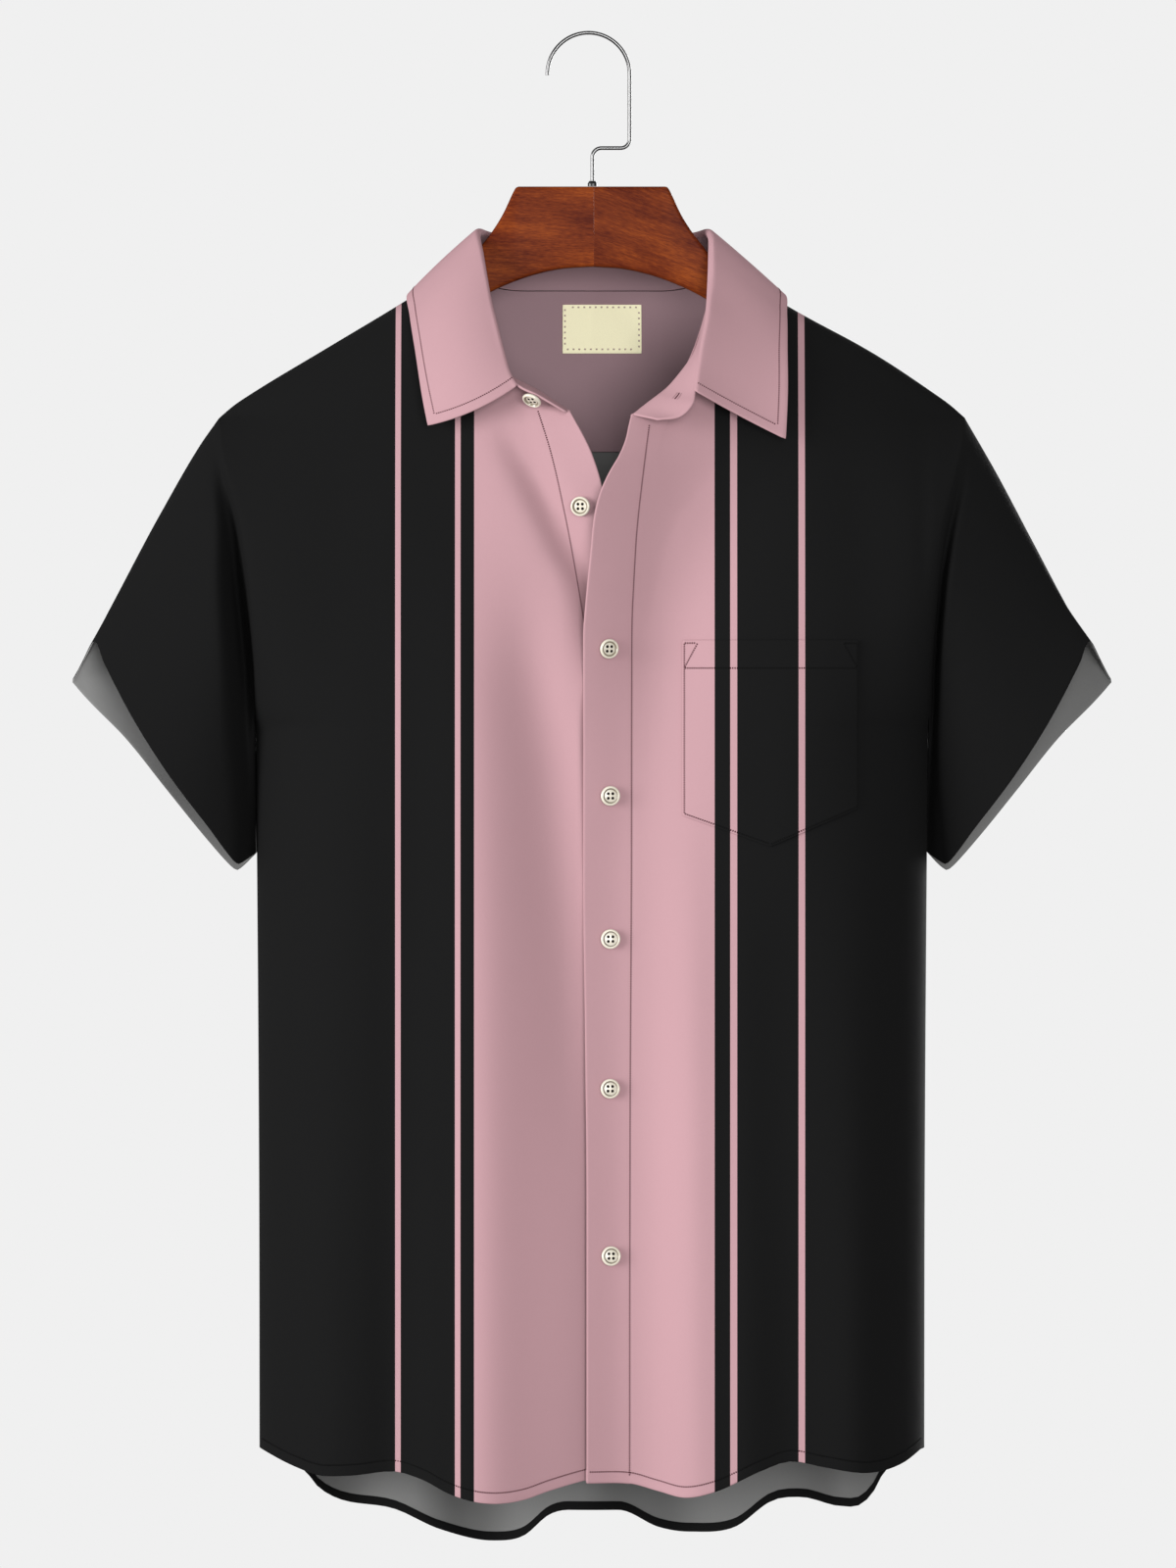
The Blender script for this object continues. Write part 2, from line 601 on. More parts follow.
def shell(
    name, grid, thickness, inner_side, skins,
    closed=False, facing=None, turned=0, split_rim=False, lined=slice(0),
):
    """Cloth with a round rim. The grid is its shown face; inner_side is 1 where the wall
    lies on the side that the grid's normals point to and -1 where it lies on the other.
    skins are the shown side's and the wrong side's, and the lining's where columns of the
    shown side are lined. The shown cloth also covers the rim, or its outer half at the last
    row where it is split, and the turned rows of the wrong side, counted from the first."""
    rows, columns = grid.shape[:2]
    depth = np.broadcast_to(thickness, (rows, columns))[..., None]
    hidden = grid + inner_side * depth * grid_normals(grid, closed)
    if facing:
        hidden[..., 1] = facing * np.maximum(facing * hidden[..., 1], SEAM_GAP / 2)
    shown, hidden = grid.reshape(-1, 3), hidden.reshape(-1, 3)
    uncut = np.stack([arc_lengths(grid, 1), arc_lengths(grid, 0)], axis=-1).reshape(-1, 2)
    number = np.arange(rows * columns).reshape(rows, columns)
    if closed:
        loops = [number[0], number[-1, ::-1]]
        number = np.concatenate([number, number[:, :1]], axis=1)
    else:
        edges = number[0, :-1], number[:-1, -1], number[-1, :0:-1], number[:0:-1, 0]
        loops = [np.concatenate(edges)]
    corners = number[:-1, :-1], number[:-1, 1:], number[1:, 1:], number[1:, :-1]
    # Faces turn the other way round where the wall lies on the other side.
    quads = np.stack(corners, axis=-1)[..., ::-inner_side]
    shown_skins = np.zeros(quads.shape[:2], int)
    shown_skins[:, lined] = 2
    hidden_skins = np.ones(quads.shape[:2], int)
    hidden_skins[:turned] = 0
    quads = quads.reshape(-1, 4)

    points, places = [shown, hidden], [uncut, uncut]
    faces = [quads, quads[:, ::-1] + len(shown)]
    face_skins = [shown_skins.ravel(), hidden_skins.ravel()]
    outward = edge_directions(grid, closed)
    for loop in loops:
        middle = (shown[loop] + hidden[loop]) / 2
        to_shown = shown[loop] - middle
        reach = np.linalg.norm(to_shown, axis=-1, keepdims=True) * outward[loop]
        rings = [loop]
        for angle in RIM_ANGLES:
            rings.append(sum(map(len, points)) + np.arange(len(loop)))
            points.append(middle + math.cos(angle) * to_shown + math.sin(angle) * reach)
            places.append(uncut[loop])
        rings.append(loop + len(shown))
        for strip, (first, second) in enumerate(zip(rings, rings[1:])):
            rim = np.stack([first, second, np.roll(second, -1), np.roll(first, -1)], axis=-1)
            faces.append(rim[:, ::-inner_side])
            inner_half = split_rim and loop is loops[-1] and strip >= len(rings) // 2
            face_skins.append(np.full(len(rim), int(inner_half)))

    faces = np.concatenate(faces)
    mesh = new_mesh(f"{name}_cloth", np.concatenate(points), faces.tolist(), *skins)
    mesh.polygons.foreach_set("material_index", np.concatenate(face_skins).astype(np.int32))
    flat = np.concatenate(places)[faces.ravel()] * METRES_PER_MM
    mesh.uv_layers.new(name="cloth").data.foreach_set("uv", flat.astype(np.float32).ravel())
    return mesh


def cloth(name, grid, thickness, inner_side, skins, slot, rests_on, closed=False, **form):
    """A piece of cloth for the node of its name. The size it was cut to is measured on its
    grid; form is for its shell."""
    mesh = shell(name, grid, thickness, inner_side, skins, closed, **form)
    piece(f"{name}_cloth", mesh, name)


def on_grid(grid, rows, columns):
    """Points and normals of a grid at fractional rows and columns."""
    row = np.clip(np.floor(rows).astype(int), 0, grid.shape[0] - 2)
    column = np.clip(np.floor(columns).astype(int), 0, grid.shape[1] - 2)
    up, across = (rows - row)[:, None], (columns - column)[:, None]

    def read(values):
        low = (1 - across) * values[row, column] + across * values[row, column + 1]
        high = (1 - across) * values[row + 1, column] + across * values[row + 1, column + 1]
        return (1 - up) * low + up * high

    return read(grid), unit(read(grid_normals(grid)))


def surface_line(surface, x, z, out=1):
    """A line on a surface given by x and z, and the surface's normals there, which point to
    the front where out is 1 and to the back where it is -1."""
    here = surface(x, z)
    right, above = surface(x + SAMPLE_STEP, z), surface(x, z + SAMPLE_STEP)
    return here, unit(np.cross(right - here, above - here)) * out


def raised(surface, height):
    """A surface that lies at a height over another one, on its front."""
    def over(x, z):
        points, normals = surface_line(surface, x, z)
        return points + height * normals

    return over


def straight_runs(surface, corners):
    """Lines on a surface from corner to corner, with a point at about every millimetre."""
    runs = []
    for start, end in zip(corners, corners[1:]):
        x, z = np.linspace(start, end, max(int(math.dist(start, end)), 2)).T
        runs.append(surface_line(surface, x, z))
    return runs


def stitch_blocks(points, normals, pitch, length, width):
    """Low rounded blocks of thread at equal distances along a line on the cloth."""
    way = arc_lengths(points, 0)
    middles = (np.arange(int(way[-1] / pitch)) + 0.5) * pitch

    def read(values, at):
        return np.stack([np.interp(at, way, values[:, axis]) for axis in range(3)], axis=-1)

    centre, normal = read(points, middles), unit(read(normals, middles))
    ahead = unit(read(points, middles + length / 2) - read(points, middles - length / 2))
    side = unit(np.cross(ahead, normal))
    corners = []
    for height, share in ((-STITCH_SINK, 1.0), (STITCH_HEIGHT, STITCH_TOP_SHARE)):
        for onward, across in ((-1, -1), (1, -1), (1, 1), (-1, 1)):
            flat = onward * length * ahead + across * width * side
            corners.append(centre + height * normal + share / 2 * flat)
    return np.stack(corners, axis=1).reshape(-1, 3)


BLOCK_CORNERS = 8
BLOCK_SIDES = ((0, 1, 5, 4), (1, 2, 6, 5), (2, 3, 7, 6), (3, 0, 4, 7), (4, 5, 6, 7), (3, 2, 1, 0))


def sew(name, runs, skin, stitch=STITCH):
    """One piece for all the lines of stitches; a run is the points and normals of one."""
    points = np.concatenate([stitch_blocks(*run, *stitch) for run in runs])
    starts = np.arange(0, len(points), BLOCK_CORNERS)[:, None, None]
    faces = (starts + np.array(BLOCK_SIDES)).reshape(-1, 4).tolist()
    piece(name, new_mesh(name, points, faces, skin))


# ---------------------------------------------------------------- materials

CLOTH_SHEEN, CLOTH_GLOSS = 0.005, 0.04
WEAVE_PITCH_M, WEAVE_DEPTH_M = 0.00062, 0.00005
# Scale, detail and stretch of the slubs in the weave.
SLUBS = (900.0, 2.0, (1.0, 0.25, 1.0))
# How the tone of the cloth varies: the scales of its clouds and its fibres, and the amount
# of each and of the single threads.
CLOUD_SCALE, FIBRE_SCALE = 9.0, 1400.0
CLOUD_TONE, FIBRE_TONE, THREAD_TONE = 0.10, 0.16, 0.03
TONE_GAIN = 4.0
PLY_SCALE, RESIN_SCALE, DRAWING_SCALE, FLOOR_SCALE = 3200.0, 260.0, 1500.0, 1.5
FLOOR_DARK, FLOOR_LIGHT = 0.60, 0.63

WOOD_LIGHT = (0.215, 0.046, 0.008)
WOOD_MIDDLE = (0.124, 0.023, 0.006)
WOOD_DARK = (0.060, 0.009, 0.004)
# Scale, detail, stretch and share of each layer of the grain; the shares add up to 1.
WOOD_LAYERS = (
    (24.0, 2.0, (0.7, 1.0, 1.5), 0.34),
    (70.0, 3.0, (0.22, 1.0, 1.6), 0.20),
    (520.0, 3.0, (0.10, 1.0, 1.2), 0.20),
    (1500.0, 2.0, (0.16, 1.0, 1.0), 0.26),
)
WOOD_STOPS = (0.40, 0.51, 0.62)
GRAIN_BUMP, GRAIN_DEPTH_M = 0.2, 0.0001


def plug(tree, made, inputs):
    """Fills inputs of a node, by name or number: a socket is linked, a value written."""
    for key, value in inputs.items():
        if isinstance(value, bpy.types.NodeSocket):
            tree.links.new(value, made.inputs[key])
        else:
            made.inputs[key].default_value = value


def node(tree, kind, inputs, **settings):
    made = tree.nodes.new(kind)
    for setting, value in settings.items():
        setattr(made, setting, value)
    plug(tree, made, inputs)
    return made


def new_skin(name):
    """A new material's node tree, and the place on the object as a socket."""
    SKINS[name] = bpy.data.materials.new(name)
    SKINS[name].use_nodes = True
    tree = SKINS[name].node_tree
    return tree, node(tree, "ShaderNodeTexCoord", {}).outputs["Object"]


def paint(tree, colour, inputs):
    """Gives a material its colour, a socket, and the other inputs of its shader."""
    plug(tree, tree.nodes["Principled BSDF"], {"Base Color": colour, **inputs})


def value_of(tree, operation, *values):
    """Output of a Math node on sockets or numbers."""
    return node(tree, "ShaderNodeMath", dict(enumerate(values)), operation=operation).outputs[0]


def opaque(colour):
    return (*colour, 1)


def shade_of(colour, factor):
    return tuple(part * factor for part in colour)


def mixed(tree, share, first, second):
    """A colour between two colours or sockets, at a share that is a socket."""
    inputs = {"Factor": share}
    for key, value in ((6, first), (7, second)):
        inputs[key] = opaque(value) if isinstance(value, tuple) else value
    return node(tree, "ShaderNodeMix", inputs, data_type="RGBA").outputs[2]


def varied(tree, share, colour, darkest, lightest):
    """A colour that varies between two shades of itself."""
    return mixed(tree, share, shade_of(colour, darkest), shade_of(colour, lightest))


def noise(tree, place, scale, detail=2.0, stretch=None):
    """A soft noise value between 0 and 1; stretch scales the place along each axis."""
    if stretch:
        place = node(tree, "ShaderNodeMapping", {"Vector": place, "Scale": stretch}).outputs[0]
    inputs = {"Vector": place, "Scale": scale, "Detail": detail}
    return node(tree, "ShaderNodeTexNoise", inputs).outputs["Fac"]


def part_of(tree, vector, axis):
    return node(tree, "ShaderNodeSeparateXYZ", {0: vector}).outputs[axis]


def bump(tree, height, strength, depth):
    inputs = {"Strength": strength, "Distance": depth, "Height": height}
    return node(tree, "ShaderNodeBump", inputs).outputs["Normal"]


def stripe_mask(tree, place):
    """1 in the pink bands of the front and 0 between them, by the place across it."""
    across = part_of(tree, place, "X")
    total = None
    for start, end in PINK_BANDS:
        centre, half = (start + end) / 2 * METRES_PER_MM, (end - start) / 2 * METRES_PER_MM
        band = value_of(tree, "COMPARE", across, centre, half)
        total = band if total is None else value_of(tree, "ADD", total, band)
    return total


def weave(tree):
    """A plain weave of fine threads along the cloth's own two directions: the pattern of
    its threads, and its height."""
    place = node(tree, "ShaderNodeUVMap", {}, uv_map="cloth").outputs[0]
    turn = 2 * math.pi / WEAVE_PITCH_M
    warp, weft = (
        value_of(tree, "SINE", value_of(tree, "MULTIPLY", part_of(tree, place, axis), turn))
        for axis in "XY"
    )
    threads = value_of(tree, "MULTIPLY", warp, weft)
    return threads, value_of(tree, "ADD", threads, noise(tree, place, *SLUBS))


def cloth_skin(name, colour, striped_with=None, roughness=0.9, relief=0.4, lower=None):
    """Woven cloth. Striped cloth shows its first colour in the bands and the other between
    them. Both vary a little from thread to thread and over a hand's width. The cloth may
    grade to a lower colour down the sleeve."""
    tree, place = new_skin(name)
    threads, height = weave(tree)
    tone = 0.0
    layers = (
        (noise(tree, place, CLOUD_SCALE), CLOUD_TONE),
        (noise(tree, place, FIBRE_SCALE), FIBRE_TONE),
        (threads, THREAD_TONE),
    )
    for layer, amount in layers:
        tone = value_of(tree, "MULTIPLY_ADD", layer, amount, tone)
    share = value_of(tree, "MINIMUM", value_of(tree, "MULTIPLY", tone, TONE_GAIN), 1.0)
    shown = varied(tree, share, colour, 0.95, 1.05)
    if striped_with:
        between = varied(tree, share, striped_with, 0.9, 1.1)
        shown = mixed(tree, stripe_mask(tree, place), between, shown)
    if lower:
        grade = {
            "Value": part_of(tree, place, "Z"),
            "From Min": GRADE_TOP_Z * METRES_PER_MM,
            "From Max": GRADE_LOW_Z * METRES_PER_MM,
        }
        share = node(tree, "ShaderNodeMapRange", grade).outputs["Result"]
        shown = mixed(tree, share, shown, lower)
    paint(tree, shown, {
        "Roughness": roughness,
        "Sheen Weight": CLOTH_SHEEN,
        "Sheen Roughness": 0.5,
        "Specular IOR Level": CLOTH_GLOSS,
        "Normal": bump(tree, height, relief, WEAVE_DEPTH_M),
    })


def thread_skin(name, colour, between=None):
    """Twisted thread. Where it crosses the stripes it may have another colour between the
    pink bands."""
    tree, place = new_skin(name)
    shown = varied(tree, noise(tree, place, PLY_SCALE), colour, 0.75, 1.25)
    if between:
        shown = mixed(tree, stripe_mask(tree, place), between, shown)
    paint(tree, shown, {"Roughness": 0.85, "Specular IOR Level": CLOTH_GLOSS})


def resin_skin(name, colour):
    """Button resin with faint clouds, as cast from poured colour."""
    tree, place = new_skin(name)
    clouds = noise(tree, place, RESIN_SCALE, 4.0, (1.0, 1.0, 2.2))
    shown = varied(tree, clouds, colour, 0.86, 1.12)
    paint(tree, shown, {"Roughness": 0.28, "Coat Weight": 0.35, "Coat Roughness": 0.12})


def wood_skin(name, grain_turn, warmth, shift):
    """Stained and varnished wood: broad clouds, bands and streaks along the grain, and a
    fine pattern of short dark pores. shift moves the pattern to another place."""
    tree, place = new_skin(name)
    turned = {
        "Vector": place,
        "Rotation": (0, math.radians(grain_turn), 0),
        "Location": (shift, 0, shift),
    }
    grain_place = node(tree, "ShaderNodeMapping", turned).outputs["Vector"]
    tone = 0.0
    for scale, detail, stretch, share in WOOD_LAYERS:
        layer = noise(tree, grain_place, scale, detail, stretch)
        tone = value_of(tree, "MULTIPLY_ADD", layer, share, tone)
    ramp = node(tree, "ShaderNodeValToRGB", {"Fac": tone})
    stops = ramp.color_ramp.elements
    stops[0].position, stops[1].position = WOOD_STOPS[0], WOOD_STOPS[2]
    stops[0].color, stops[1].color = opaque(WOOD_DARK), opaque(shade_of(WOOD_LIGHT, warmth))
    stops.new(WOOD_STOPS[1]).color = opaque(shade_of(WOOD_MIDDLE, warmth))
    paint(tree, ramp.outputs["Color"], {
        "Roughness": 0.38,
        "Specular IOR Level": 0.015,
        "Coat Weight": 0.008,
        "Coat Roughness": 0.2,
        "Normal": bump(tree, tone, GRAIN_BUMP, GRAIN_DEPTH_M),
    })


def chrome_skin(name, grey, roughness):
    """Plated steel with faint drawing marks."""
    tree, place = new_skin(name)
    shown = varied(tree, noise(tree, place, DRAWING_SCALE), (grey,) * 3, 0.85, 1.15)
    paint(tree, shown, {"Roughness": roughness, "Metallic": 1.0})


def floor_skin(name):
    tree, place = new_skin(name)
    clouds = noise(tree, place, FLOOR_SCALE)
    paint(tree, varied(tree, clouds, (1, 1, 1), FLOOR_DARK, FLOOR_LIGHT), {"Roughness": 0.9})


def make_skins():
    cloth_skin("striped_cloth", PINK, striped_with=BLACK)
    cloth_skin("black_cloth", BLACK)
    cloth_skin("wrong_side_of_black", WRONG_SIDE, lower=LOWER_WRONG_SIDE)
    cloth_skin("greyer_wrong_side", GREYER_WRONG_SIDE)
    cloth_skin("pink_cloth", PINK)
    cloth_skin("pink_lining", LINING_PINK)
    cloth_skin("label_cloth", LABEL_CREAM, roughness=0.7, relief=0.8)
    thread_skin("striped_thread", DARK_THREAD, BLACK_THREAD)
    thread_skin("dark_thread", DARK_THREAD)
    thread_skin("black_thread", BLACK_THREAD)
    thread_skin("pink_thread", shade_of(PINK, 0.8))
    thread_skin("label_thread", LABEL_THREAD)
    thread_skin("button_thread", BUTTON_THREAD)
    resin_skin("cream_resin", CREAM)
    resin_skin("stained_resin", STAINED_CREAM)
    wood_skin("varnished_wood_left", grain_turn=-3.0, warmth=1.0, shift=0.31)
    wood_skin("varnished_wood_right", grain_turn=-19.0, warmth=0.95, shift=0.77)
    chrome_skin("chrome", grey=0.12, roughness=0.2)
    chrome_skin("dark_steel", grey=0.05, roughness=0.35)
    floor_skin("pale_floor")


# ---------------------------------------------------------------- body panels

COLUMN_STEP, ROW_STEP = 3.2, 4.0
NECK_SAMPLES, FRONT_NECK_STEPS, YOKE_NECK_STEPS, SHOULDER_STEPS = 400, 20, 28, 18
# Distances of the first columns from a front edge, and of the first and the last rows from
# a panel's ends: they are close at stitches, folds and where the cloth bends over.
EDGE_COLUMNS = np.array((
    0, 0.6, 1.4, 2.6, 4.4, 7, 10, 13, 16, 18.5, 20.5, 22, 23.2, 24.2, 25.1, 26, 26.9, 27.8,
    28.8, 30, 32, 35, 38.5,
))
HEM_ROWS = (0, 1.1, 2.2, 3.3, 4.4, 5.2, 6.0, 6.8, 7.6, 8.8, 10.4, 12.6, 15.5, 19)
YOKE_HEM_ROWS = (0, 0.6, 1.6, 3)
CREST_ROWS = np.array((26, 21, 16.5, 12.5, 9.3, 6.6, 4.4, 2.7, 1.4, 0.5, 0))
BACK_TOP_ROWS = np.array((2.0, 1.0, 0.3))
# Columns over the rounding beside the outer edge, and their distances from that edge, from
# one to the next of which the rounding turns by equal angles.
SIDE_COLUMNS = 26
SIDE_INSETS = SIDE_ROUND * (1 - np.cos(np.linspace(math.pi / 2, 0, SIDE_COLUMNS)))
SHOULDER_X = np.hstack([
    np.linspace(NECK_SIDE_X, SHOULDER_TIP_X - SIDE_ROUND, SHOULDER_STEPS)[1:],
    SHOULDER_TIP_X - SIDE_INSETS[1:],
])
HEM_HALF_WIDTH = OUTER_EDGE[1][0]
# The turned hems reach this far past their stitches, and the lines of stitches end this far
# from a side seam.
HEM_MARGIN, BACK_HEM_MARGIN = 1.0, 0.1
SEWN_MARGIN, YOKE_SEWN_MARGIN = 0.5, 1.0
# Distances from the middle, to the front's own side, at which its hem stitches begin.
UPPER_HEM_SEWN_FROM, UNDER_HEM_SEWN_FROM = -1.5, 1.5


def neck_line(neckline, start, count):
    """Points at equal distances along a neckline, from an x to the side of the neck."""
    x = np.linspace(start, NECK_SIDE_X, NECK_SAMPLES)
    z = smooth(neckline, x)
    way = np.hstack([0, np.cumsum(np.hypot(np.diff(x), np.diff(z)))])
    picked = np.linspace(0, way[-1], count)
    return np.interp(picked, way, x), np.interp(picked, way, z)


def levels(length, hem_rows, crest_rows):
    """Shares of a panel's length for its rows."""
    plain = np.arange(hem_rows[-1], length - crest_rows[0], ROW_STEP)[1:]
    return np.hstack([hem_rows, plain, length - crest_rows]) / length


def ditch(distance):
    return DITCH_DEPTH * bell(distance, DITCH_WIDTH)


def make_front(name, side, surface, edge, neckline, hem, stitch):
    """One front. Its neckline and hem tables hold distances from the middle, to its own
    side; its placket's stitches follow their own line."""
    near = neckline[0][0] + EDGE_COLUMNS
    neck_x, neck_z = neck_line(neckline, near[-1], FRONT_NECK_STEPS)
    top_x = np.hstack([near, neck_x[1:], SHOULDER_X])
    top_z = np.hstack([smooth(neckline, near), neck_z[1:], shoulder_z(side * SHOULDER_X)])
    near_hem = side * smooth(edge, HEM_Z) + EDGE_COLUMNS
    side_hem = HEM_HALF_WIDTH - SIDE_INSETS
    middle_columns = len(top_x) - len(near_hem) - len(side_hem) + 2
    middle = np.linspace(near_hem[-1], side_hem[0], middle_columns)
    hem_x = np.hstack([near_hem, middle[1:], side_hem[1:]])
    hem_z = smooth(hem, hem_x)
    heights = levels(top_z[0] - hem_z[0], HEM_ROWS, CREST_ROWS)
    inner_z, outer_z = (hem_z[end] + heights * (top_z[end] - hem_z[end]) for end in (0, -1))
    inner = side * smooth(edge, inner_z), inner_z
    outer = outer_edge_x(outer_z), outer_z
    distance, z = patch((hem_x, hem_z), (top_x, top_z), inner, outer, heights)
    x = side * distance
    grid = surface(x, z)
    stitched_x = smooth(stitch, z)
    grid[..., 1] += ditch(x - stitched_x) + ditch(z - smooth(hem, distance) - HEM_STITCH)
    thickness = CLOTH + FACING_EXTRA * (side * (stitched_x - x) > 0)
    thickness += HEM_EXTRA * (arc_lengths(grid, 0) < HEM_STITCH + HEM_MARGIN)
    wood = f"hanger_half_{name.removeprefix('front_')}_wood"
    cloth(
        name, grid, thickness, -side, ("striped_cloth", "wrong_side_of_black"), "black_cloth",
        [wood], facing=FRONT,
    )


def sew_front(name, side, surface, hem, stitch, hem_start):
    """Placket and hem stitches of one front."""
    z = np.arange(stitch[0][0], stitch[0][-1], SAMPLE_STEP)
    distance = np.arange(hem_start, HEM_HALF_WIDTH - SEWN_MARGIN, SAMPLE_STEP)
    hem_z = smooth(hem, distance) + HEM_STITCH
    runs = [
        surface_line(surface, smooth(stitch, z), z),
        surface_line(surface, side * distance, hem_z),
    ]
    sew(name, runs, "striped_thread")


def make_fronts():
    upper, under = (RIGHT, upper_front_points), (LEFT, under_front_points)
    make_front(
        "front_right", *upper, UPPER_FRONT_EDGE, UPPER_NECKLINE, UPPER_HEM, UPPER_PLACKET_STITCH
    )
    make_front(
        "front_left", *under, UNDER_FRONT_EDGE, UNDER_NECKLINE, UNDER_HEM, UNDER_PLACKET_STITCH
    )
    sew_front("front_right_stitches", *upper, UPPER_HEM, UPPER_PLACKET_STITCH, UPPER_HEM_SEWN_FROM)
    sew_front("front_left_stitches", *under, UNDER_HEM, UNDER_PLACKET_STITCH, UNDER_HEM_SEWN_FROM)


def back_patch(bottom, top, heights):
    """Grid between two lines across the back and its two outer edges."""
    side_z = bottom[1][0] + heights * (top[1][0] - bottom[1][0])
    edge_x = outer_edge_x(side_z)
    return patch(bottom, top, (-edge_x, side_z), (edge_x, side_z), heights)


def make_back():
    side, flat = (HEM_HALF_WIDTH - SIDE_INSETS)[1:], HEM_HALF_WIDTH - SIDE_ROUND
    middle = np.linspace(-flat, flat, int(2 * flat / COLUMN_STEP))
    hem_x = np.hstack([-side[::-1], middle, side])
    hem_z = smooth(BACK_HEM, hem_x)
    top_x = hem_x * outer_edge_x(YOKE_SEAM_Z) / HEM_HALF_WIDTH
    heights = levels(YOKE_SEAM_Z - hem_z[0], HEM_ROWS, BACK_TOP_ROWS)
    top = top_x, np.full_like(top_x, YOKE_SEAM_Z)
    x, z = back_patch((hem_x, hem_z), top, heights)
    grid = back_points(x, z)
    above_hem = z - smooth(BACK_HEM, x)
    grid[..., 1] -= ditch(above_hem - BACK_HEM_TURN)
    thickness = CLOTH + HEM_EXTRA * (above_hem < BACK_HEM_TURN + BACK_HEM_MARGIN)
    cloth(
        "back_panel", grid, thickness, 1, ("black_cloth", "greyer_wrong_side"), "black_cloth",
        ["yoke_outer_cloth"], facing=BACK, turned=int(np.searchsorted(HEM_ROWS, BACK_HEM_TURN)),
    )
    x = np.arange(SEWN_MARGIN - HEM_HALF_WIDTH, HEM_HALF_WIDTH - SEWN_MARGIN, SAMPLE_STEP)
    hem_line = surface_line(back_points, x, smooth(BACK_HEM, x) + BACK_HEM_TURN, -1)
    sew("back_stitches", [hem_line], "black_thread")


def make_yoke():
    """Both layers of the yoke, from its seam to the neck and the shoulder line."""
    neck_x, neck_z = neck_line(BACK_NECKLINE, 0, YOKE_NECK_STEPS)
    half_x = np.hstack([neck_x, SHOULDER_X])
    left_z, right_z = (np.hstack([neck_z, shoulder_z(s * SHOULDER_X)]) for s in (LEFT, RIGHT))
    top_x = np.hstack([-half_x[:0:-1], half_x])
    top_z = np.hstack([left_z[:0:-1], right_z])
    heights = levels(BACK_NECKLINE[1][0] - YOKE_SEAM_Z, YOKE_HEM_ROWS, CREST_ROWS)
    seam_half = outer_edge_x(YOKE_SEAM_Z)
    seam_x = top_x * seam_half / SHOULDER_TIP_X
    bottom = seam_x, np.full_like(seam_x, YOKE_SEAM_Z)
    grid = back_points(*back_patch(bottom, (top_x, top_z), heights))
    cloth(
        "yoke_outer", grid, CLOTH, 1, ("black_cloth", "wrong_side_of_black"), "black_cloth",
        ["hanger_half_left_wood", "hanger_half_right_wood"], facing=BACK,
    )
    inner = grid + (CLOTH + LAYER_GAP) * grid_normals(grid)
    inner[..., 1] = np.maximum(inner[..., 1], SEAM_GAP / 2)
    cloth(
        "yoke_inner", inner, LINING_CLOTH, 1, ("pink_lining", "pink_lining"), "pink_cloth",
        ["yoke_outer_cloth"], facing=BACK,
    )
    half = seam_half - YOKE_SEWN_MARGIN
    x = np.arange(-half, half, SAMPLE_STEP)
    seam_line = surface_line(back_points, x, np.full_like(x, YOKE_SEAM_Z + YOKE_STITCH), -1)
    sew("yoke_stitches", [seam_line], "black_thread")


# ---------------------------------------------------------------- sleeves

SLEEVE_LEVELS = np.hstack([np.linspace(0, 0.97, 60), (0.98, 0.99, 1)])
HALF_RING = 60
# Share of the sleeve's length over which it leaves the armhole seam for the fold beside it.
SEAM_SHARE = 0.03
# Share of the way round from which the underarm moves behind the body.
UNDERARM_SHARE = 0.9
# Rows of the wrong side at the armhole that the black seam allowance covers.
ARMHOLE_TURN_ROWS = 16


def sleeve_grid(side):
    """Rings from the armhole to the cuff, front half first."""
    way = (1 - np.cos(np.linspace(0, math.pi, HALF_RING + 1))) / 2
    armhole_z = SHOULDER_TIP_Z + way * (UNDERARM_Z - SHOULDER_TIP_Z)
    halves = []
    for facing, part in ((FRONT, slice(0, -1)), (BACK, slice(None, 0, -1))):
        depth = facing * loop_depth(way)
        hem_x, hem_z = smooth_all(SLEEVE_HEM[facing], way)
        armhole = side * outer_edge_x(armhole_z), ARMHOLE_HALF_DEPTH * depth, armhole_z
        cuff = side * hem_x, SLEEVE_HEM_HALF_DEPTH * depth, hem_z
        halves.append(np.stack([armhole, cuff])[..., part])
    armhole, cuff = np.concatenate(halves, axis=-1).transpose(0, 2, 1)
    ring_way = np.hstack([way[:-1], way[:0:-1]])
    level = SLEEVE_LEVELS[:, None]
    grid = (1 - level[..., None]) * armhole + level[..., None] * cuff
    bow = smooth(CREST_BOW[side], level) * (1 - ring_way)
    grid[..., 0] += side * CREST_OUTWARD[0] * bow
    grid[..., 2] += CREST_OUTWARD[1] * bow
    middle, half_width, depth = smooth_all(SIDE_FOLD[side], grid[..., 2])
    from_body = side * grid[..., 0] - outer_edge_x(grid[..., 2])
    fold = depth * bell(from_body - middle, half_width)
    grid[..., 1] *= 1 - fold * soft_step(level / SEAM_SHARE)
    at_seam = soft_step((ring_way - UNDERARM_SHARE) / (1 - UNDERARM_SHARE)) * level
    grid[..., 1] += SEAM_BEHIND * at_seam
    grid[..., 0] += side * (SEAM_AT_CUFF_X - SLEEVE_HEM[FRONT][1][-1]) * at_seam
    return grid


def make_sleeve(name, side, wrong_side, front):
    cloth(
        name, sleeve_grid(side), CLOTH, -side, ("black_cloth", wrong_side), "black_cloth",
        [front], closed=True, turned=ARMHOLE_TURN_ROWS, split_rim=True,
    )


# ---------------------------------------------------------------- collar

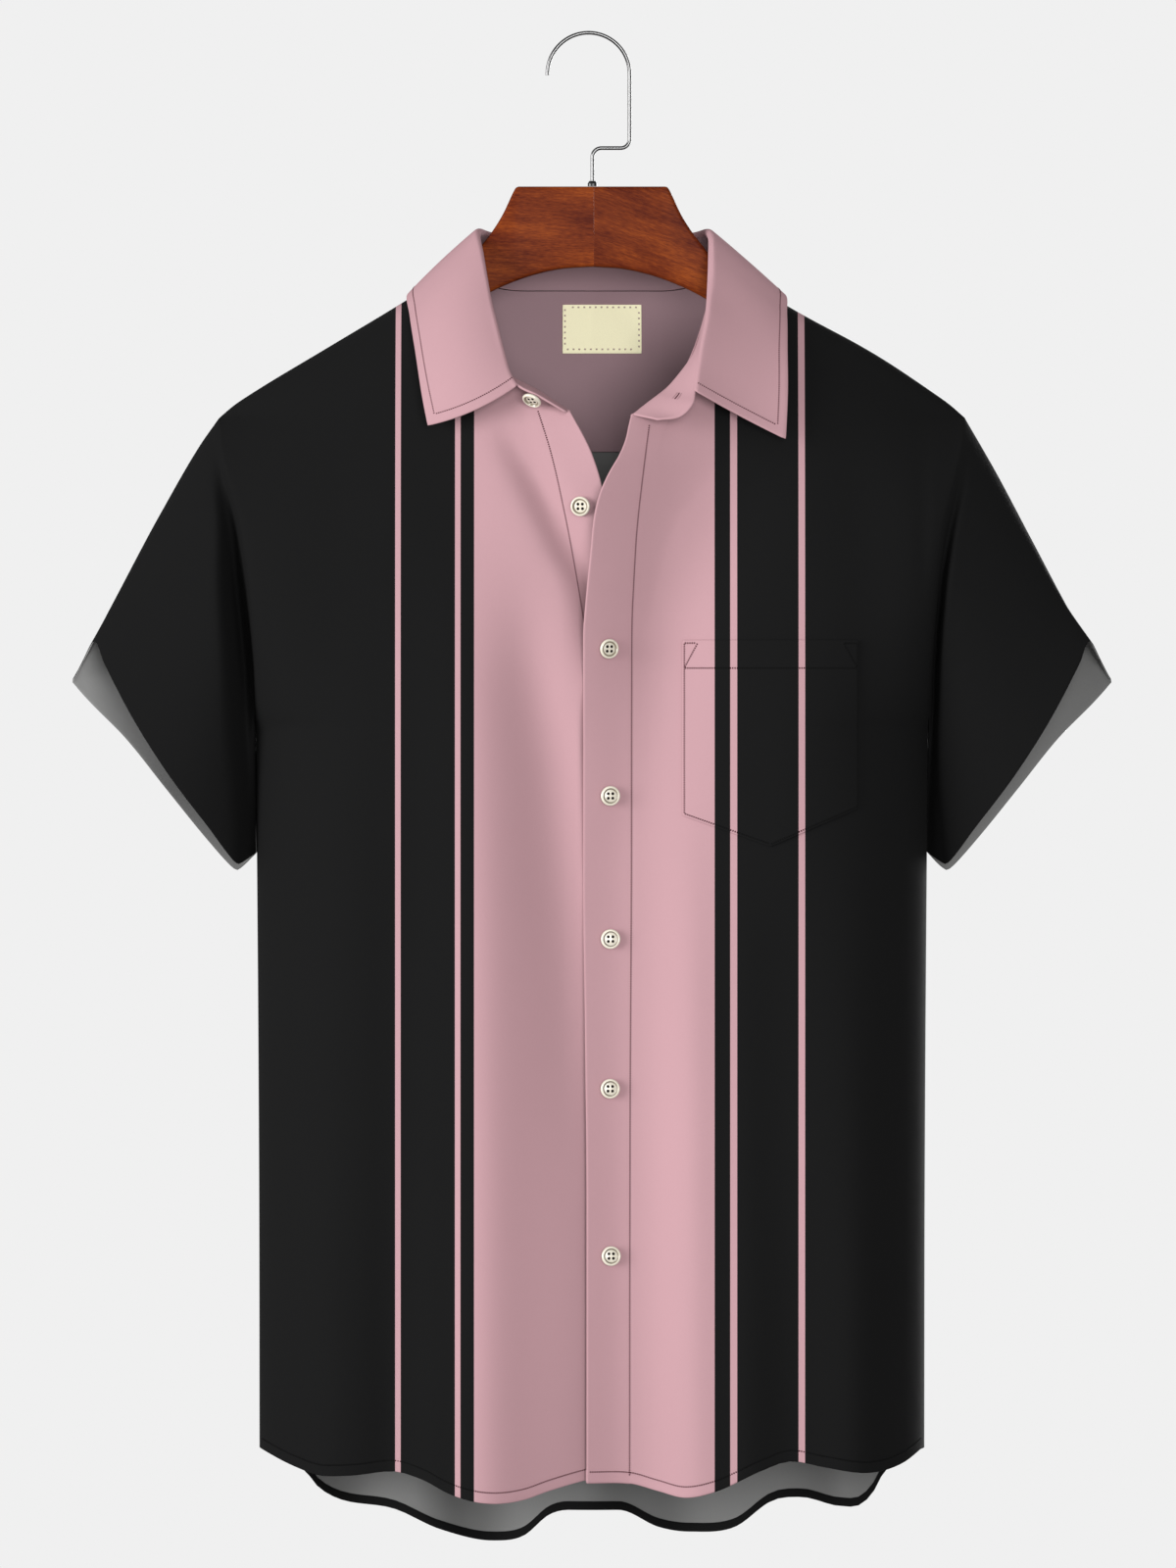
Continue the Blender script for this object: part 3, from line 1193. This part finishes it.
STAND_SPANS, LEAF_SPANS = 216, 168
STAND_SHARES = np.linspace(0, 1, 10)
ROLL_SHARES = np.linspace(0, 1, 10)
FALL_SHARES = np.linspace(0, 1, 26)[1:]
# The leaf's stitches at its front edges begin on this row, in the middle of the roll.
STITCHED_ROW = 5
FRONT_RUN_SAMPLES, EDGE_RUN_SAMPLES = 200, 1600
# The row, counted from the free edge, near which the two lines of stitches meet at a corner.
CORNER_ROW = -3


def collar_lines():
    """Points of the neck seam, of the stand's upper edge and of the leaf's free edge."""
    seam_x, seam_z = np.array(STAND_SEAM, float)
    rows = np.arange(len(seam_x))
    back = (rows > LEFT_SHOULDER_ROW) & (rows < RIGHT_SHOULDER_ROW)
    left, right = (s(seam_x, seam_z)[:, 1] for s in (under_front_points, upper_front_points))
    front_y = np.where(rows < RIGHT_SHOULDER_ROW, left, right) - STAND_LIFT
    seam_y = np.where(back, body_depth(seam_x, seam_z, BACK), front_y)
    edge_x, edge_z, edge_lift = np.array(LEAF_EDGE, float)
    edge_y = np.where(
        back[LEAF_FIRST : LEAF_LAST + 1],
        body_depth(edge_x, edge_z, BACK) + edge_lift,
        -body_depth(edge_x, edge_z, FRONT) - edge_lift,
    )
    shoulders = np.array([LEFT_SHOULDER_ROW, RIGHT_SHOULDER_ROW])
    seam_y[shoulders] = 0
    edge_y[shoulders - LEAF_FIRST] = 0
    seam = np.stack([seam_x, seam_y, seam_z], axis=-1)
    edge = np.stack([edge_x, edge_y, edge_z], axis=-1)
    return seam, np.array(STAND_TOP, float).T, edge


def stand_grid(seam, top):
    at = np.linspace(0, len(seam) - 1, STAND_SPANS + 1)
    shares = STAND_SHARES[:, None, None]
    return (1 - shares) * along(seam, at) + shares * along(top, at)


def leaf_grid(seam, top, edge):
    """The leaf: straight up from the stand, over in a round roll and down to its edge."""
    at = np.linspace(LEAF_FIRST, LEAF_LAST, LEAF_SPANS + 1)
    start, free = along(top, at), along(edge, at - LEAF_FIRST)
    upward = unit(start - along(seam, at))
    away = -unit(np.cross(np.gradient(start, axis=0), upward))
    reach = unit(free - start)
    turn = np.arctan2((reach * away).sum(axis=-1), (reach * upward).sum(axis=-1))
    turn = np.where(turn < 0, turn + 2 * math.pi, turn)[:, None]
    leaf = [start]
    for share in ROLL_SHARES:
        over = (1 - np.cos(share * turn)) * away + np.sin(share * turn) * upward
        leaf.append(start + ROLL_START * upward + ROLL_RADIUS * over)
    rolled = leaf[-1]
    lift = np.sin(turn) * upward - np.cos(turn) * away
    rise = smooth(LEAF_BULGE, at)[:, None]
    for share in FALL_SHARES:
        bulge = rise * 4 * share * (1 - share)
        leaf.append((1 - share) * rolled + share * free + bulge * lift)
    return np.array(leaf)


def leaf_stitch_runs(grid):
    """Stitches along both front edges and the free edge of the leaf."""
    every_row, every_column = (np.arange(count) for count in grid.shape[:2])
    from_free = arc_lengths(grid[::-1], 0)
    free_row = np.array([
        np.interp(LEAF_STITCH_INSET, from_free[:, column], every_row[::-1])
        for column in every_column
    ])
    runs, corners = [], []
    for turned in (False, True):
        from_front = arc_lengths(grid[:, ::-1] if turned else grid, 1)
        column = np.array([np.interp(LEAF_STITCH_INSET, way, every_column) for way in from_front])
        if turned:
            column = every_column[-1] - column
        last = np.interp(column[CORNER_ROW], every_column, free_row)
        at = np.linspace(STITCHED_ROW, last, FRONT_RUN_SAMPLES)
        runs.append(on_grid(grid, at, np.interp(at, every_row, column)))
        corners.append(np.interp(last, every_row, column))
    at = np.linspace(*corners, EDGE_RUN_SAMPLES)
    runs.append(on_grid(grid, np.interp(at, every_column, free_row), at))
    return runs


def make_collar():
    seam, top, edge = collar_lines()
    stand, leaf = stand_grid(seam, top), leaf_grid(seam, top, edge)
    spans_a_row = STAND_SPANS / (len(seam) - 1)
    columns = np.linspace(*BUTTONHOLE_AT, BUTTONHOLE_SAMPLES) * spans_a_row
    low, slit, high = (
        on_grid(stand, np.full(BUTTONHOLE_SAMPLES, share * (len(STAND_SHARES) - 1)), columns)
        for share in BUTTONHOLE_SHARES
    )
    sew("buttonhole_cord", [low, high], "pink_thread", BUTTONHOLE_CORD)
    sew("buttonhole_slit", [slit], "dark_thread", BUTTONHOLE_SLIT)
    shoulders = (round(row * spans_a_row) for row in (LEFT_SHOULDER_ROW, RIGHT_SHOULDER_ROW))
    cloth(
        "collar_stand", stand, COLLAR_CLOTH, -1, ("pink_cloth", "pink_cloth", "pink_lining"),
        "pink_cloth", ["yoke_outer_cloth"], lined=slice(*shoulders),
    )
    cloth(
        "collar_leaf", leaf, COLLAR_CLOTH, -1, ("pink_cloth", "pink_cloth"), "pink_cloth",
        ["collar_stand_cloth"],
    )
    sew("collar_stitches", leaf_stitch_runs(leaf), "dark_thread")


# ---------------------------------------------------------------- pocket and label

POCKET_COLUMNS, POCKET_ROWS = 73, 64
LABEL_COLUMNS, LABEL_ROWS = 33, 21


def make_pocket():
    x = np.linspace(POCKET_LEFT, POCKET_RIGHT, POCKET_COLUMNS)
    up = np.linspace(0, 1, POCKET_ROWS)[:, None]
    middle = (POCKET_LEFT + POCKET_RIGHT) / 2
    corner = np.where(x < middle, POCKET_LEFT_CORNER, POCKET_RIGHT_CORNER)
    away = np.abs(x - middle) / (middle - POCKET_LEFT)
    z = (1 - up) * (POCKET_POINT + away * (corner - POCKET_POINT)) + up * POCKET_TOP
    surface = raised(upper_front_points, PATCH_GAP + CLOTH)
    cloth(
        "pocket", surface(np.broadcast_to(x, z.shape), z), CLOTH, -1,
        ("striped_cloth", "wrong_side_of_black"), "black_cloth", ["front_right_cloth"],
    )
    left, right = POCKET_LEFT + POCKET_STITCH_INSET, POCKET_RIGHT - POCKET_STITCH_INSET
    top, hem = POCKET_TOP - POCKET_TRIANGLE_TOP, POCKET_TOP - POCKET_HEM
    low_left = (left, POCKET_LEFT_CORNER + POCKET_STITCH_INSET)
    low_right = (right, POCKET_RIGHT_CORNER + POCKET_STITCH_INSET)
    point = ((left + right) / 2, POCKET_POINT + POCKET_POINT_INSET)
    lines = (
        ((left, top), low_left),
        ((right, top), low_right),
        (low_left, point, low_right),
        ((left, hem), (right, hem)),
        ((left, top), (left + POCKET_TRIANGLE, top), (left, hem)),
        ((right, top), (right - POCKET_TRIANGLE, top), (right, hem)),
    )
    runs = [run for line in lines for run in straight_runs(surface, line)]
    sew("pocket_stitches", runs, "striped_thread", POCKET_STITCH)


def make_label():
    """A bare woven label sewn inside the back of the neck, with a row of stitches round."""
    height = CLOTH + LAYER_GAP + LINING_CLOTH + LAYER_GAP + LABEL_CLOTH
    surface = raised(back_points, height)
    x, z = np.meshgrid(
        np.linspace(LABEL_LEFT, LABEL_RIGHT, LABEL_COLUMNS),
        np.linspace(LABEL_BOTTOM, LABEL_TOP, LABEL_ROWS),
    )
    cloth(
        "neck_label", surface(x, z), LABEL_CLOTH, -1, ("label_cloth", "label_cloth"),
        "label_cloth", ["yoke_inner_cloth"],
    )
    left, right = LABEL_LEFT + LABEL_STITCH_INSET, LABEL_RIGHT - LABEL_STITCH_INSET
    low, high = LABEL_BOTTOM + 2 * LABEL_STITCH_INSET, LABEL_TOP - LABEL_STITCH_INSET
    corners = ((left, low), (right, low), (right, high), (left, high), (left, low))
    runs = straight_runs(surface, corners)
    sew("label_stitches", runs, "label_thread", LABEL_STITCH)


# ---------------------------------------------------------------- buttons

BUTTON_SIDES, HOLE_SIDES, THREAD_SIDES = 48, 20, 10
BUTTON_SHARP_ANGLE = 38
# In a hole, faces whose normal has less Z than this are its walls.
WALL_LEAN = 0.5


def turned_solid(profile, sides):
    """Points and faces of a solid turned about Z from (radius, height) pairs that start and
    end on the axis."""
    angles = np.linspace(0, 2 * math.pi, sides, endpoint=False)
    points = [(0, 0, profile[0][1])]
    for radius, height in profile[1:-1]:
        points.extend((radius * math.cos(a), radius * math.sin(a), height) for a in angles)
    points.append((0, 0, profile[-1][1]))
    last = len(points) - 1
    faces = []
    for side in range(sides):
        after = (side + 1) % sides
        faces.append((0, 1 + after, 1 + side))
        for ring in range(1, last - sides, sides):
            a, b = ring + side, ring + after
            faces.append((a, b, b + sides, a + sides))
        faces.append((last, last - sides + side, last - sides + after))
    return points, faces


def button_mesh():
    """A four-hole button with a rounded rim and a dished middle, facing +Z."""
    solid = turned_solid(BUTTON_PROFILE, BUTTON_SIDES)
    mesh = new_mesh("button", *solid, "cream_resin", "stained_resin", "button_thread")
    for face in mesh.polygons:
        reach = math.hypot(*face.center[:2]) / METRES_PER_MM
        if GROOVE_INNER < reach < GROOVE_OUTER and face.normal.z > 0:
            face.material_index = 1
    body = bpy.data.objects.new("button", mesh)
    bpy.context.scene.collection.objects.link(body)
    cutters = []
    for x, y in HOLES:
        bpy.ops.mesh.primitive_cylinder_add(
            vertices=HOLE_SIDES,
            radius=HOLE_RADIUS * METRES_PER_MM,
            depth=HOLE_DEPTH * METRES_PER_MM,
            location=(x * METRES_PER_MM, y * METRES_PER_MM, 0),
        )
        cutters.append(bpy.context.active_object)
        cut = body.modifiers.new("hole", "BOOLEAN")
        cut.operation = "DIFFERENCE"
        cut.object = cutters[-1]
    depsgraph = bpy.context.evaluated_depsgraph_get()
    cut_mesh = bpy.data.meshes.new_from_object(body.evaluated_get(depsgraph))
    for extra in (body, *cutters):
        bpy.data.objects.remove(extra)
    for face in cut_mesh.polygons:
        away = (abs(abs(share) / METRES_PER_MM - HOLE_OFFSET) for share in face.center[:2])
        if max(away) < HOLE_RADIUS and abs(face.normal.z) < WALL_LEAN:
            face.material_index = 2
    cut_mesh.shade_smooth()
    cut_mesh.set_sharp_from_angle(angle=math.radians(BUTTON_SHARP_ANGLE))
    return cut_mesh


def thread_mesh():
    """Four stubs of thread that fill the holes of a button from below."""
    profile = (
        (0, THREAD_LOW),
        (THREAD_RADIUS, THREAD_LOW),
        (THREAD_RADIUS, THREAD_TOP - THREAD_RADIUS / 2),
        (THREAD_RADIUS / 2, THREAD_TOP),
        (0, THREAD_TOP),
    )
    stub, sides = turned_solid(profile, THREAD_SIDES)
    points, faces = [], []
    for x, y in HOLES:
        faces.extend(tuple(len(points) + corner for corner in side) for side in sides)
        points.extend((a + x, b + y, c) for a, b, c in stub)
    return new_mesh("button_thread", points, faces, "button_thread")


def placed(mesh, place, outward):
    """A copy of a mesh with its +Z turned outward and its origin at a place, both written
    into the points."""
    forward = unit(np.asarray(outward, float))
    sideways = unit(np.cross((0, 0, 1), forward))
    own = mesh.copy()
    points = np.empty(len(own.vertices) * 3)
    own.vertices.foreach_get("co", points)
    turned = points.reshape(-1, 3) @ np.stack([sideways, np.cross(forward, sideways), forward])
    own.vertices.foreach_set("co", (turned + np.asarray(place) * METRES_PER_MM).ravel())
    own.update()
    return own


def make_buttons():
    mesh, thread = button_mesh(), thread_mesh()
    tilt, turn = math.radians(STAND_BUTTON_TILT), math.radians(STAND_BUTTON_TURN)
    down = -math.sin(tilt) * math.cos(turn)
    places = [(STAND_BUTTON, (math.sin(turn) * math.sin(tilt), -math.cos(tilt), down))]
    spots = [(under_front_points, UNDER_BUTTON)]
    spots += [(upper_front_points, spot) for spot in FRONT_BUTTONS]
    for surface, (x, z) in spots:
        (here,), (normal,) = surface_line(surface, np.array([x]), np.array([z]))
        places.append((here + BUTTON_GAP * normal, normal))
    for number, spot in enumerate(places, start=1):
        name = f"button_{number}"
        piece(f"{name}_resin", placed(mesh, *spot), name)
        piece(f"{name}_thread", placed(thread, *spot))


# ---------------------------------------------------------------- hanger

# Points of the wire's line round the hook, down its side and in each bend.
HOOK_POINTS, SIDE_POINTS, BEND_POINTS = 61, 8, 12


def wood_outline(side):
    """Outline of one half of the wood: along the top, round the tip and back below."""
    joint = WOOD_JOINT_X + side * WOOD_JOINT_GAP
    reach = np.hstack([max(side * joint, 0), WOOD_REACH])
    top, under = smooth(WOOD_TOP, reach), smooth(WOOD_UNDERSIDE, reach)
    angles = np.radians(np.linspace(TIP_ANGLE, -TIP_ANGLE, TIP_STEPS))
    tip_radius = (top[-1] - under[-1]) / 2
    tip_x = reach[-1] + TIP_REACH * tip_radius * np.cos(angles)
    tip_z = (top[-1] + under[-1]) / 2 + tip_radius * np.sin(angles)
    x = side * np.hstack([reach, tip_x, reach[::-1]])
    x[0] = x[-1] = joint
    return np.stack([x, np.hstack([top, tip_z, under[::-1]])], axis=-1)


def make_hanger_half(name, side):
    """One half of the wood, with rounded edges front and back."""
    outline = wood_outline(side)
    after = np.roll(outline, -1, axis=0) - outline
    before = outline - np.roll(outline, 1, axis=0)
    turn = unit(after) + unit(before)
    inward = unit(np.stack([turn[:, 1], -turn[:, 0]], axis=-1)) * side
    inward[0], inward[-1] = (0, -1), (0, 1)
    near = [
        (WOOD_EDGE * (1 - math.cos(a)) - WOOD_THICKNESS / 2, WOOD_EDGE * (1 - math.sin(a)))
        for a in np.linspace(0, math.pi / 2, BEVEL_STEPS)
    ]
    layers = near + [(-y, inset) for y, inset in near[::-1]]
    points = [(x, y, z) for y, inset in layers for x, z in outline + inset * inward]
    count, total = len(outline), len(points)
    faces = [tuple(range(count)), tuple(range(total - 1, total - count - 1, -1))]
    for layer in range(0, total - count, count):
        for i in range(count):
            a, b = layer + i, layer + (i + 1) % count
            faces.append((b, a, a + count, b + count))
    if side == LEFT:
        faces = [face[::-1] for face in faces]
    mesh = new_mesh(f"{name}_wood", points, faces, name.replace("hanger_half", "varnished_wood"))
    mesh.set_sharp_from_angle(angle=math.radians(BEVEL_SHARP_ANGLE))
    piece(f"{name}_wood", mesh, name)


def arc(centre_x, centre_z, radius, start, end, count):
    """Points of a circle between two angles in degrees."""
    angles = np.radians(np.linspace(start, end, count))
    return [(centre_x + radius * math.cos(a), centre_z + radius * math.sin(a)) for a in angles]


def hook_route():
    """Centre line of the wire from its free end to the foot of the stem."""
    centre_z = WIRE_RADIUS - HOOK_RADIUS
    side_x, corner_z = HOOK_CENTRE_X + HOOK_RADIUS, JOG_Z + JOG_BEND
    return [
        *arc(HOOK_CENTRE_X, centre_z, HOOK_RADIUS, HOOK_START_ANGLE, 0, HOOK_POINTS),
        *((side_x, z) for z in np.linspace(centre_z, corner_z, SIDE_POINTS)[1:-1]),
        *arc(side_x - JOG_BEND, corner_z, JOG_BEND, 0, -90, BEND_POINTS),
        *arc(STEM_X + JOG_BEND, JOG_Z - JOG_BEND, JOG_BEND, 90, 180, BEND_POINTS),
        (STEM_X, WOOD_TOP[1][0] + SEAM_GAP),
    ]


def make_hook():
    curve = bpy.data.curves.new("hanger_hook_wire", "CURVE")
    curve.dimensions = "3D"
    curve.bevel_depth = WIRE_RADIUS * METRES_PER_MM
    curve.bevel_resolution = 5
    curve.use_fill_caps = True
    route = hook_route()
    spline = curve.splines.new("POLY")
    spline.points.add(len(route) - 1)
    for point, (x, z) in zip(spline.points, route):
        point.co = (x * METRES_PER_MM, 0, z * METRES_PER_MM, 1)
    curve.materials.append(SKINS["chrome"])
    piece("hanger_hook_wire", curve, "hanger_hook")


# ---------------------------------------------------------------- stage


def aim(made, direction):
    """Turns a lamp, which looks along its -Z, so that it shines from a direction."""
    x, y, z = direction
    made.rotation_euler = (math.atan2(math.hypot(x, y), z), 0, math.atan2(x, -y))


def make_stage():
    """A pale round floor well below the hem, a plain pale room and three soft lamps."""
    bpy.ops.mesh.primitive_circle_add(
        vertices=FLOOR_SIDES,
        radius=FLOOR_RADIUS * METRES_PER_MM,
        fill_type="NGON",
        location=(0, 0, (min(BACK_HEM[1]) - FLOOR_DROP) * METRES_PER_MM),
    )
    floor = bpy.context.active_object
    floor.name = "floor"
    floor.data.materials.append(SKINS["pale_floor"])

    scene = bpy.context.scene
    scene.view_settings.view_transform = "Standard"
    scene.world = bpy.data.worlds.new("pale_room")
    scene.world.use_nodes = True
    tree = scene.world.node_tree
    plug(tree, tree.nodes["Background"], {"Color": opaque((ROOM_LIGHT,) * 3)})
    backdrop = node(tree, "ShaderNodeBackground", {"Color": opaque((BACKDROP,) * 3)})
    either = node(tree, "ShaderNodeMixShader", {
        0: node(tree, "ShaderNodeLightPath", {}).outputs["Is Camera Ray"],
        1: tree.nodes["Background"].outputs[0],
        2: backdrop.outputs[0],
    })
    plug(tree, tree.nodes["World Output"], {"Surface": either.outputs[0]})

    for name, (direction, strength, spread) in LAMPS.items():
        light = bpy.data.lights.new(name, "SUN")
        light.energy = strength
        light.angle = math.radians(spread)
        made = bpy.data.objects.new(name, light)
        made.location = direction
        aim(made, direction)
        scene.collection.objects.link(made)


def make_camera():
    lens = bpy.data.cameras.new("camera")
    lens.sensor_fit = "HORIZONTAL"
    lens.sensor_width = SENSOR_WIDTH
    lens.lens = SENSOR_WIDTH * CAMERA_DISTANCE / PHOTO_WIDTH_MM
    lens.clip_end = CLIP_END_M
    camera = bpy.data.objects.new("camera", lens)
    place = (VIEW_X, VIEW_Y - CAMERA_DISTANCE, VIEW_Z)
    camera.location = tuple(part * METRES_PER_MM for part in place)
    camera.rotation_euler = (math.pi / 2, 0, 0)
    bpy.context.scene.collection.objects.link(camera)
    bpy.context.scene.camera = camera


def main():
    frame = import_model()
    make_camera()
    make_skins()
    make_fronts()
    make_back()
    make_yoke()
    make_sleeve("sleeve_left", LEFT, "wrong_side_of_black", "front_left_cloth")
    make_sleeve("sleeve_right", RIGHT, "greyer_wrong_side", "front_right_cloth")
    make_collar()
    make_pocket()
    make_label()
    make_buttons()
    make_hanger_half("hanger_half_left", LEFT)
    make_hanger_half("hanger_half_right", RIGHT)
    make_hook()
    for place in frame["nodes"]["hook_ferrule"].material_slots:
        place.material = SKINS["dark_steel"]
    make_stage()


main()
